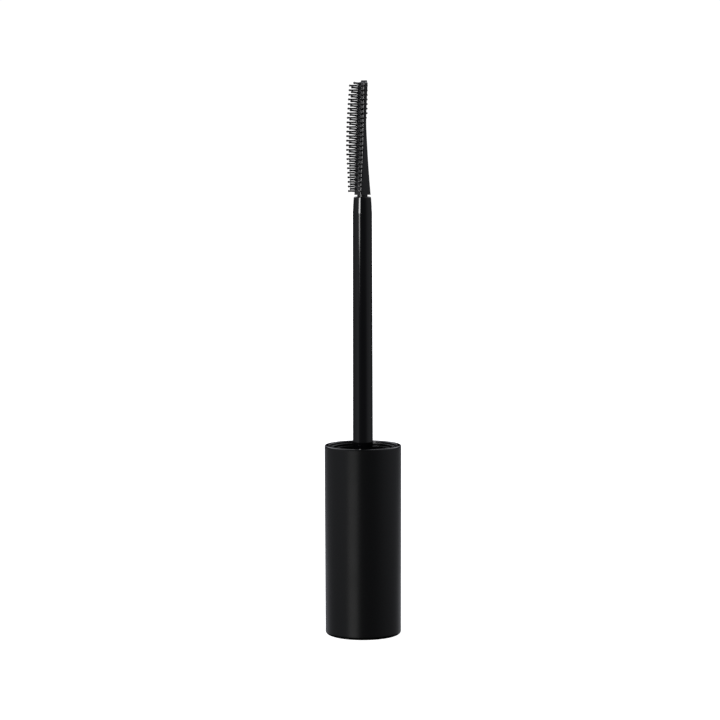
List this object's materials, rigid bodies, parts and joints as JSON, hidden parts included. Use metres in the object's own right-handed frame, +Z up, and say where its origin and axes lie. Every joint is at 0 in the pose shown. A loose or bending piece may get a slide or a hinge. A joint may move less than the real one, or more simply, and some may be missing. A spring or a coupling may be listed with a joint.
{
  "type": "mascara applicator",
  "caption": "Mascara applicator: a cylindrical matte black screw cap with a thin glossy stem and a curved one-sided moulded comb brush, standing on the cap's closed end.",
  "frame": {"origin": "centre of the cap's closed end, on the surface that the applicator stands on", "axes": "+Z up along the cap and stem to the brush's tip; the brush's longest bristles point to -X, turned 6 degrees towards -Y"},
  "size_m": [0.018, 0.018, 0.1297],
  "materials": {
    "matte_black_abs": "matte moulded",
    "black_polypropylene": "satin moulded",
    "pale_foam_pe": "matte foam",
    "plated_steel": "zinc plated",
    "gloss_black_acetal": "glossy moulded",
    "satin_black_elastomer": "satin moulded"
  },
  "bodies": {
    "root": {"cap_shell": "matte_black_abs", "thread_liner": "black_polypropylene", "neck_gasket": "pale_foam_pe", "cap_weight": "plated_steel", "stem": "gloss_black_acetal", "brush": "satin_black_elastomer"}
  },
  "joints": []
}
